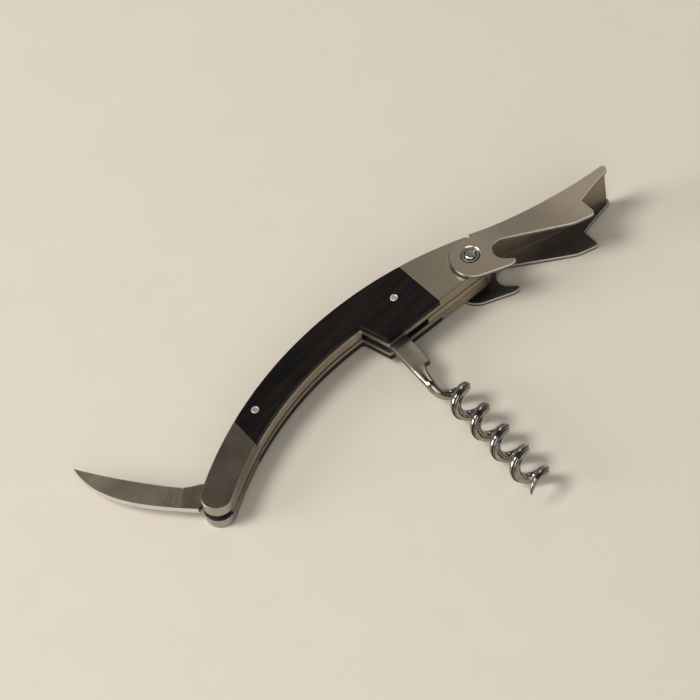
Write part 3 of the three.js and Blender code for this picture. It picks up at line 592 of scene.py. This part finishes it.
# Grain: waves in each metre along, across and through the turned finish
FINE_GRAIN = (900.0, 9000.0, 9000.0)
BOLSTER_GRAIN = (700.0, 6500.0, 6500.0)
LEVER_GRAIN = (650.0, 6200.0, 6200.0)
LINER_GRAIN = (260.0, 260.0, 9000.0)
SPRING_GRAIN = (260.0, 260.0, 8200.0)
BLADE_GRAIN = (6500.0, 900.0, 900.0)
WORM_GRAIN = (700.0, 700.0, 700.0)
SHANK_GRAIN = (1500.0, 1500.0, 1500.0)
PIN_GRAIN = (3000.0, 3000.0, 3000.0)
RIVET_GRAIN = (2600.0, 2600.0, 2600.0)

# Degrees that the grain is turned by
KNIFE_BOLSTER_TURN = -30
LEVER_BOLSTER_TURN = 12
LEVER_TURN = 17

ALONG_HANDLE = (1, 0, 0)
WORM_ALONG = Vector((math.cos(WORM_ANGLE), math.sin(WORM_ANGLE), 0))
WORM_START = centre_of("worm_pivot_pin").dot(WORM_ALONG) / MM
END_FADE = (1.0, 9.0)
SHANK_FADE = (16.5, 22.5)


def steel_values(bright, dull, least, most, grain=FINE_GRAIN):
    return {"Grain": grain, "Bright": (*bright, 1), "Dull": (*dull, 1),
            "Least Roughness": least, "Most Roughness": most}


def steel(name, look, bump, turn=0, fade=None):
    return finish(name, STEEL, steel_values(*look), bump, turn, fade, Metallic=1.0)


# Looks that a fade shares: bright and dull colour, least and most roughness, grain
KNIFE_BOLSTER = ((0.25, 0.212, 0.160), (0.203, 0.173, 0.13), 0.32, 0.42, BOLSTER_GRAIN)
LINER = ((0.55, 0.46, 0.365), (0.27, 0.225, 0.178), 0.3, 0.46, LINER_GRAIN)
KNIFE_END_SHEEN = ((0.46, 0.45, 0.435), (0.33, 0.32, 0.305), 0.24, 0.36, LINER_GRAIN)
WORM = ((0.50, 0.47, 0.42), (0.22, 0.20, 0.175), 0.07, 0.17, WORM_GRAIN)

knife_bolster_steel = steel("knife_bolster_satin", KNIFE_BOLSTER, bump=0.12, turn=KNIFE_BOLSTER_TURN)
# painted sheen: a lighter copy of the bolster steel for the lever's end
lever_bolster_sheen_steel = steel("lever_bolster_satin_painted_sheen", (
    (0.345, 0.295, 0.22), (0.29, 0.25, 0.185), 0.32, 0.42, BOLSTER_GRAIN),
    bump=0.12, turn=LEVER_BOLSTER_TURN)
lever_steel = steel("lever_satin", (
    (0.385, 0.325, 0.25), (0.33, 0.28, 0.215), 0.32, 0.43, LEVER_GRAIN), bump=0.12, turn=LEVER_TURN)
# painted highlight: bright steel for softened edges and sides that catch the light
edge_highlight_steel = steel("edge_painted_highlight", ((0.80, 0.80, 0.80), (0.74, 0.74, 0.735), 0.19, 0.23), bump=0.02)
# painted highlight for the rims round the rivet
rim_highlight_steel = steel("rivet_rim_painted_highlight", ((0.80, 0.765, 0.715), (0.72, 0.69, 0.64), 0.25, 0.3), bump=0.02)
gap_steel = steel("gap_shadow", ((0.075, 0.069, 0.06), (0.045, 0.041, 0.037), 0.4, 0.55), bump=0.1)
liner_steel = steel("liner_edge", LINER, bump=0.3)
# painted sheen on the knife end, fading into the liner and bolster steel
end_sheen_steel = steel("knife_end_painted_sheen", KNIFE_END_SHEEN, bump=0.2,
                  fade=(ALONG_HANDLE, *END_FADE, steel_values(*LINER)))
bolster_end_sheen_steel = steel("knife_bolster_end_painted_sheen", KNIFE_END_SHEEN, bump=0.12, turn=KNIFE_BOLSTER_TURN,
                          fade=(ALONG_HANDLE, *END_FADE, steel_values(*KNIFE_BOLSTER)))
spring_steel = steel("spring_temper", (
    (0.45, 0.385, 0.31), (0.28, 0.24, 0.19), 0.3, 0.48, SPRING_GRAIN), bump=0.3)
blade_steel = steel("blade_satin", (
    (0.46, 0.38, 0.285), (0.385, 0.32, 0.235), 0.28, 0.4, BLADE_GRAIN), bump=0.1, turn=-BLADE_DEGREES)
ricasso_steel = steel("ricasso_satin", (
    (0.33, 0.28, 0.22), (0.27, 0.23, 0.18), 0.3, 0.42, BLADE_GRAIN), bump=0.1, turn=-BLADE_DEGREES)
# painted shade: a dark copy of the steel for faces that lie in shade
shade_steel = steel("painted_shade_inside", (
    (0.23, 0.215, 0.195), (0.15, 0.14, 0.127), 0.32, 0.5, LEVER_GRAIN), bump=0.12)
worm_steel = steel("worm_polish", WORM, bump=0.2)
shank_steel = steel("shank_satin", (
    (0.36, 0.315, 0.25), (0.27, 0.235, 0.185), 0.34, 0.5, SHANK_GRAIN), bump=0.25,
    fade=(WORM_ALONG, *(WORM_START + place for place in SHANK_FADE), steel_values(*WORM)))
# painted shade for the worm's groove and the shoulder's step
groove_shade_steel = steel("worm_groove_painted_shade", (
    (0.10, 0.09, 0.08), (0.05, 0.046, 0.04), 0.3, 0.5, WORM_GRAIN), bump=0.2)
pin_rim_steel = steel("pin_rim", (
    (0.95, 0.93, 0.88), (0.86, 0.83, 0.78), 0.4, 0.5, PIN_GRAIN), bump=0.1)
pin_steel = steel("pin_polish", (
    (0.72, 0.645, 0.565), (0.56, 0.50, 0.435), 0.34, 0.48, PIN_GRAIN), bump=0.15)
rivet_steel = steel("rivet_satin", (
    (0.31, 0.27, 0.205), (0.215, 0.19, 0.145), 0.34, 0.48, RIVET_GRAIN), bump=0.2)
scale_wood = finish("scale_wood", WOOD, {
    "Light": (0.0115, 0.0078, 0.0060, 1), "Dark": (0.0034, 0.0027, 0.0023, 1),
    "Least Roughness": 0.36, "Most Roughness": 0.52,
}, bump=0.15, Specular_IOR_Level=0.16)


# Handle

def from_middle(face):
    return abs(face.center.z / MM - MIDDLE)


def off_seam(at, low_x, low_y, high_x, high_y):
    """How far a point lies past a seam's line, towards the lever."""
    share = (at.y / MM - low_y) / (high_y - low_y)
    return at.x / MM - low_x - (high_x - low_x) * share


def at_seam(face):
    if from_middle(face) < LINER_OUT or level(face) > DEAD_FLAT:
        return False
    return min(abs(off_seam(face.center, *line)) for line in SEAMS) < SEAM_REACH


def in_liner(face):
    return from_middle(face) < LINER_IN


def on_liner_side(face):
    return level(face) <= SIDE and from_middle(face) < LINER_OUT + LINER_SLACK


def inside_handle(face):
    return level(face) > FLAT and in_liner(face)


def at_lever_end(face):
    return face.center.x > HALFWAY * MM


def on_knife_end(face):
    return level(face) <= SIDE and face.center.x < END_SHEEN_REACH * MM


def mark_gap(plate):
    cut_through(plate, (0, 0, GAP_FOOT), (0, 0, 1))


def in_gap(face):
    """The top of the lower liner's side, which the spring keeps in its shade."""
    height = face.center.z / MM
    return level(face) <= FLAT and GAP_FOOT < height < MIDDLE and face.center.x > GAP_START * MM


def dress_plate(node, name):
    plate = worked_copy(node, name)
    paint(plate, knife_bolster_steel, edge_highlight_steel, liner_steel, shade_steel, lever_bolster_sheen_steel,
          end_sheen_steel, gap_steel, bolster_end_sheen_steel)
    # the softened edges get the painted highlight
    soften(plate, PLATE_EDGE, then=mark_gap)
    # painted shade along the seams
    paint_faces(plate, shade_steel, at_seam)
    paint_faces(plate, gap_steel, in_liner, over=edge_highlight_steel)
    paint_faces(plate, liner_steel, on_liner_side, over=knife_bolster_steel)
    # painted shade on the liners' inner faces
    paint_faces(plate, shade_steel, inside_handle, over=knife_bolster_steel)
    # painted sheen on the lever's half of the bolsters
    paint_faces(plate, lever_bolster_sheen_steel, at_lever_end, over=knife_bolster_steel)
    # painted sheen on the knife end's sides
    paint_faces(plate, end_sheen_steel, on_knife_end, over=liner_steel)
    paint_faces(plate, bolster_end_sheen_steel, on_knife_end, over=knife_bolster_steel)
    paint_faces(plate, gap_steel, in_gap)
    settle(plate, "handle", node)


def dress_scale(node, name):
    scale = worked_copy(node, name)
    paint(scale, scale_wood)
    soften(scale, SCALE_EDGE)
    settle(scale, "handle", node)


def dress_spring(node, name):
    spring = worked_copy(node, name)
    paint(spring, spring_steel, gap_steel)
    soften(spring, SPRING_EDGE)
    settle(spring, "handle", node)


for side in ("upper", "lower"):
    dress_plate(side + "_plate", side + "_plate_worked")
for side in ("upper", "lower"):
    dress_scale(side + "_scale", side + "_scale_rubbed")
for node in ("double_spring", "back_spacer", "lever_spring"):
    dress_spring(node, node + "_worked")


# Pins, rivet and washers

def scale_pin(node, side):
    """A pin with a softly domed head, in the rim of the tube that it is peened into."""
    at = centre_of(node)
    at.z = MIDDLE * MM
    pin = turned(node + "_peened", SCALE_PIN, at)
    if side == "lower":
        with whole_mesh(pin) as mesh_tools:
            bpy.ops.transform.mirror(constraint_axis=(False, False, True), center_override=at)
            mesh_tools.normals_make_consistent(inside=False)
    paint(pin, pin_steel, pin_rim_steel)
    paint_faces(pin, pin_rim_steel, lambda face: face.center.xy.length > PIN_RIM * MM)
    smooth(pin)
    settle(pin, "handle", node)


for end in ("knife", "lever"):
    for side in ("upper", "lower"):
        scale_pin(f"{side}_scale_pin_{end}", side)

rivet_low, rivet_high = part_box("lever_rivet")
rivet_at = centre_of("lever_rivet")
rivet_top = (rivet_high[2] - rivet_low[2]) / 2 / MM
head = [(radius, rivet_top - depth) for radius, depth in RIVET_HEAD]
foot = [(radius, -height) for radius, height in reversed(head)]
rivet = turned("lever_rivet_domed", [*head, *foot], rivet_at)
paint(rivet, rivet_steel, rim_highlight_steel)
# painted highlight on the rivet's rim
paint_faces(rivet, rim_highlight_steel, lambda face: face.center.xy.length > RIVET_RIM * MM)
smooth(rivet)
settle(rivet, "handle", "lever_rivet")

for node in ("upper_washer", "lower_washer"):
    washer = worked_copy(node, node + "_turned")
    paint(washer, rivet_steel, rim_highlight_steel, gap_steel)
    # the washer's softened edges get the painted highlight, its sides the painted shadow
    soften(washer, WASHER_EDGE)
    paint_faces(washer, gap_steel, lambda face: level(face) <= SIDE)
    settle(washer, "handle", node)


# Foil blade

blade_pivot = centre_of("knife_pivot_pin")
blade_angle = math.radians(BLADE_DEGREES)
along_blade = Vector((math.cos(blade_angle), math.sin(blade_angle), 0))
to_spine = Vector((-along_blade.y, along_blade.x, 0))


def along(face):
    return (face.center - blade_pivot).dot(along_blade) / MM


def on_spine(face):
    return face.normal.dot(to_spine) > SPINE_SHARE and along(face) > SPINE_START


blade = worked_copy("knife_blade", "knife_blade_ground")
paint(blade, blade_steel, edge_highlight_steel, ricasso_steel)
# the softened edges get the painted highlight
soften(blade, BLADE_EDGE, sharp=BLADE_SHARP, smooth_to=BLADE_SMOOTH)
paint_faces(blade, ricasso_steel, lambda face: along(face) < RICASSO_END, over=blade_steel)
# painted highlight along the blade's back
paint_faces(blade, edge_highlight_steel, on_spine)
settle(blade, "knife", "knife_blade")


# Boot lever

lever = worked_copy("boot_lever", "boot_lever_folded")
lever_low, lever_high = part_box("boot_lever")
lever_middle = (lever_low[2] + lever_high[2]) / 2 / MM


def spans_channel(face):
    heights = [lever.data.vertices[i].co.z for i in face.vertices]
    return max(heights) - min(heights) > WEB_SPAN * MM


def on_fold(one, other):
    """Whether one face is the web's and the other a cheek's."""
    return any(spans_channel(web) and level(cheek) > CHEEK
               for web, cheek in ((one, other), (other, one)))


def faces_channel(face):
    return level(face) > CHEEK and (face.center.z / MM - lever_middle) * face.normal.z < 0


def sheet_middle(x):
    """How far the middle of a cheek's sheet lies from the lever's middle plane."""
    return SHEET_MIDDLE + FLARE_SLOPE * max(0.0, min(FLARE_LENGTH, x - FLARE_START))


def split_sides(piece):
    """Cuts the sheet's sides along its middle, for a painted highlight above and a painted shade below.
    """
    for way in (1, -1):
        for x, slope in ((FLARE_START, 0), (FLARE_START, FLARE_SLOPE), (FLARE_START + FLARE_LENGTH, 0)):
            cut_through(piece, (x, 0, lever_middle + way * sheet_middle(x)), (-way * slope, 0, 1))


def ease_flare(piece):
    """Rounds the two shallow creases where the cheeks start and stop spreading."""
    split_sides(piece)
    for place, half_width, way in FLARE_CREASES:
        for i in range(round(2 * half_width / CREASE_STEP) + 1):
            cut_through(piece, (place - half_width + i * CREASE_STEP, 0, 0), (1, 0, 0))
        for vertex in piece.data.vertices:
            inside = half_width - abs(vertex.co.x / MM - place)
            height = vertex.co.z / MM - lever_middle
            if inside > 0 and abs(height) > CHEEKS_FROM:
                bend = FLARE_SLOPE * inside ** 2 / (4 * half_width)
                vertex.co.z += way * math.copysign(bend * MM, height)


def near_rivet(face, reach):
    return (face.center - rivet_at).xy.length < reach * MM


def at_rivet_hole(face):
    return near_rivet(face, HOLE_REACH) and HOLE_WALL < level(face) < HOLE_RIM


def on_hole_wall(face):
    return near_rivet(face, HOLE_WALL_REACH) and level(face) < HOLE_WALL


def on_cut_side(face):
    return level(face) < SIDE and not spans_channel(face)


def on_highlit_side(face):
    """The upper half of a cut side, which is painted with a highlight."""
    height = face.center.z / MM - lever_middle
    return on_cut_side(face) and height > math.copysign(sheet_middle(face.center.x / MM), height)


round_edges(lever, on_fold, FOLD_ROUND, FOLD_STEPS)
paint(lever, lever_steel, edge_highlight_steel, shade_steel, gap_steel, rim_highlight_steel)
# the softened edges get the painted highlight
soften(lever, LEVER_EDGE, LEVER_EDGE_STEPS, smooth_to=LEVER_SMOOTH, then=ease_flare)
# painted shade on the cheeks' faces towards the channel
paint_faces(lever, shade_steel, faces_channel, over=lever_steel)
# painted highlight on the upper half of each cut side, painted shade on the lower half
paint_faces(lever, edge_highlight_steel, on_highlit_side, over=lever_steel)
paint_faces(lever, shade_steel, on_cut_side, over=lever_steel)
# painted highlight on the rivet hole's chamfer
paint_faces(lever, rim_highlight_steel, at_rivet_hole)
paint_faces(lever, gap_steel, on_hole_wall)
settle(lever, "lever", "boot_lever")


# Worm

def turn_at(s):
    run = s - TURN_START
    rate = 2 * math.pi / WORM_PITCH
    if run < 0:
        return -math.pi
    if run < TURN_IN:
        return -math.pi + rate * run ** 2 / (2 * TURN_IN)
    return -math.pi + rate * (run - TURN_IN / 2)


def neck_share(s):
    run = clamped((s - NECK_END) / NECK_BLEND)
    return 1 - run * run * (3 - 2 * run)


def wire_middle(s):
    turn = turn_at(s)
    side = WORM_OFFSET + COIL_RADIUS * math.cos(turn) + NECK_SHIFT * neck_share(s)
    return Vector((s, side, COIL_RADIUS * math.sin(turn)))


def wire_round(s):
    """One round of the wire: grooved on its outer side, and ground away at the tip."""
    ahead = (wire_middle(s + LOOK_AHEAD) - wire_middle(s - LOOK_AHEAD)).normalized()
    turn = turn_at(s)
    outward = Vector((0, math.cos(turn), math.sin(turn)))
    side = ahead.cross(outward).normalized()
    up = side.cross(ahead)
    left = clamped((WORM_END - s) / TIP_TAPER)
    whole = WIRE_RADIUS + NECK_EXTRA * neck_share(s)
    radius = TIP_RADIUS + (whole - TIP_RADIUS) * left
    cut = GROOVE_DEPTH * clamped((s - GROOVE_START) / GROOVE_RUN_IN) * left
    centre = wire_middle(s) + outward * (whole - radius)
    points = []
    for degrees in ROUND:
        angle = math.radians(degrees - GROOVE_TURN * (1 - neck_share(s)))
        reach = radius - cut * GROOVE.get(min(degrees, 360 - degrees), 0.0)
        points.append(centre + up * (reach * math.cos(angle)) + side * (reach * math.sin(angle)))
    return points


def sign(value):
    return 0.0 if abs(value) < NEAR_ZERO else math.copysign(1.0, value)


def shank_round(s, low, high, thick, corner):
    """One section of the shank: a rectangle with round corners, a circle where these are widest."""
    middle = (low + high) / 2
    half = (high - low) / 2
    corner = min(corner, half * WIDEST_CORNER)
    points = []
    for degrees in ROUND:
        across = math.cos(math.radians(degrees))
        down = math.sin(math.radians(degrees))
        points.append(Vector((
            s,
            middle - (half - corner) * sign(across) - corner * across,
            -(thick - corner) * sign(down) - corner * down,
        )))
    return points


def heel_rounds():
    """The shank's round heel, up to where it is as wide as the shank."""
    start, low, high, *rest = SHANK[0]
    for i in range(HEEL_STEPS):
        angle = math.radians(HEEL_FIRST + (90 - HEEL_FIRST) * i / HEEL_STEPS)
        place = start - HEEL_RADIUS * math.cos(angle)
        reach = HEEL_RADIUS * math.sin(angle)
        yield shank_round(place, max(low, -reach), min(high, reach), *rest)


def worm_rounds():
    length = WORM_END - NECK_END
    count = round(length / WORM_PITCH * WIRE_STEPS)
    rounds = [*heel_rounds(), *(shank_round(*section) for section in SHANK)]
    rounds += [wire_round(NECK_END + length * i / count) for i in range(1, count + 1)]
    tip = rounds[-1]
    middle = sum(tip, Vector()) / len(tip)
    ahead = (wire_middle(WORM_END) - wire_middle(WORM_END - LOOK_AHEAD)).normalized() * TIP_RADIUS
    for turn in TIP_TURNS:
        share = math.cos(math.radians(turn))
        rounds.append([middle + (point - middle) * share + ahead * math.sin(math.radians(turn))
                       for point in tip])
    return rounds


def drawn_through(name, rounds):
    """A closed skin through rounds of points that are laid one after another."""
    sides = len(rounds[0])
    last = (len(rounds) - 1) * sides
    faces = [tuple(reversed(range(sides)))]
    for start in range(0, last, sides):
        for i in range(sides):
            j = (i + 1) % sides
            faces.append((start + i, start + j, start + sides + j, start + sides + i))
    faces.append(tuple(range(last, last + sides)))
    piece = new_piece(name, [point for ring in rounds for point in ring], [], faces)
    with whole_mesh(piece) as mesh_tools:
        close_up(mesh_tools, SKIN_MERGE_DISTANCE)
    return piece


def in_groove(face):
    """The skin's faces come round by round after the heel's, so their numbers tell their strips."""
    strip = ROUND[(face.index - 1) % len(ROUND)]
    return strip in GROOVE_SHADE and face.center.x > GROOVE_SHADE_START * MM and len(face.vertices) == 4


def on_shank_side(face):
    return face.center.x < SHANK_SIDES_END * MM and level(face) < DEAD_FLAT


def on_shoulder(face):
    return face.normal.x > SHOULDER_SHARE and SHOULDER[0] * MM < face.center.x < SHOULDER[1] * MM


def bore(piece, radius, length):
    take(piece)
    bpy.ops.mesh.primitive_cylinder_add(vertices=SPIN_STEPS, radius=radius * MM, depth=length * MM)
    drill = bpy.context.object
    use_modifier(piece, "BOOLEAN", object=drill, operation="DIFFERENCE", solver="EXACT")
    bpy.data.objects.remove(drill, do_unlink=True)


worm = drawn_through("worm_wound", worm_rounds())
paint(worm, worm_steel, shank_steel, groove_shade_steel, shade_steel)
# painted shade in the groove
paint_faces(worm, groove_shade_steel, in_groove)
bore(worm, PIVOT_HOLE, DRILL_LENGTH)
paint_faces(worm, shank_steel, lambda face: face.center.x < SHANK_LOOK_END * MM)
# painted shade on the shank's sides and on its root under the scales
paint_faces(worm, shade_steel, on_shank_side)
paint_faces(worm, shade_steel, lambda face: face.center.x < SHANK_ROOT * MM)
# painted shade on the shoulder's step
paint_faces(worm, groove_shade_steel, on_shoulder)
worm.location = (*centre_of("worm_pivot_pin").xy, MIDDLE * MM)
worm.rotation_euler = (0, 0, WORM_ANGLE)
smooth(worm, WORM_SMOOTH)
settle(worm, "screw", "worm")


# Hidden pins and rivets, which stay as they are

for node, thing in frame["nodes"].items():
    if node.endswith(("rivet_1", "rivet_2", "_pivot_pin")):
        paint(thing, pin_steel)


# Floor, light and camera

floor_paint = bpy.data.materials.new("pale_floor")
floor_paint.use_nodes = True
floor_tree = floor_paint.node_tree
floor_shader = floor_tree.nodes["Principled BSDF"]
floor_place = floor_tree.nodes.new("ShaderNodeTexCoord").outputs["Object"]
floor_spread = noise(floor_tree, floor_place, *FLOOR_NOISE)["Fac"]
floor_tree.links.new(blend(floor_tree, floor_spread, FLOOR_DARK, FLOOR_LIGHT),
                     floor_shader.inputs["Base Color"])
floor_shader.inputs["Roughness"].default_value = FLOOR_ROUGHNESS
floor_shader.inputs["Specular IOR Level"].default_value = FLOOR_SPECULAR

bpy.ops.object.select_all(action="DESELECT")
bpy.ops.mesh.primitive_plane_add(size=FLOOR_SIZE)
floor = bpy.context.object
floor.name = "floor"
rest_normal = Vector((-REST_SLOPE[0], -REST_SLOPE[1], 1)).normalized()
floor_turn = rest_normal.to_track_quat("Z", "Y").to_matrix().to_4x4()
floor.matrix_world = Matrix.Translation(REST_TOUCH * MM) @ floor_turn
paint(floor, floor_paint)

world = bpy.context.scene.world or bpy.data.worlds.new("studio")
bpy.context.scene.world = world
world.use_nodes = True
world_tree = world.node_tree
world_light = world_tree.nodes["Background"]
world_light.inputs["Strength"].default_value = WORLD_STRENGTH
world_place = world_tree.nodes.new("ShaderNodeTexCoord")
world_parts = world_tree.nodes.new("ShaderNodeSeparateXYZ")
world_tree.links.new(world_place.outputs["Generated"], world_parts.inputs[0])
world_height = ranged(world_tree, world_parts.outputs["Z"], *WORLD_DARKENS)
world_tree.links.new(blend(world_tree, world_height, WORLD_LOW, WORLD_HIGH),
                     world_light.inputs["Color"])


def soft_lamp(name, direction, distance, size, power, colour, aim):
    lamp = bpy.data.lights.new(name, "AREA")
    lamp.shape = "DISK"
    lamp.size = size
    lamp.energy = power
    lamp.color = colour
    thing = bpy.data.objects.new(name, lamp)
    bpy.context.collection.objects.link(thing)
    towards = Vector(direction).normalized()
    thing.location = aim * MM + towards * distance
    thing.rotation_euler = towards.to_track_quat("Z", "Y").to_euler()


for lamp in LAMPS:
    soft_lamp(*lamp)

camera_data = bpy.data.cameras.new("photograph")
camera_data.lens = VIEW_LENS
camera_data.sensor_width = VIEW_SENSOR
camera_data.clip_start, camera_data.clip_end = VIEW_CLIP
camera = bpy.data.objects.new("photograph", camera_data)
bpy.context.collection.objects.link(camera)
heading = VIEW_HEADING.normalized()
look = heading * math.cos(VIEW_DROP) - Vector((0, 0, math.sin(VIEW_DROP)))
camera.rotation_mode = "QUATERNION"
camera.rotation_quaternion = look.to_track_quat("-Z", "Y") @ Quaternion((0, 0, 1), VIEW_ROLL)
camera.location = VIEW_FOCUS * MM - look * (VIEW_DISTANCE * MM)
bpy.context.scene.camera = camera
bpy.context.scene.view_settings.view_transform = "Standard"
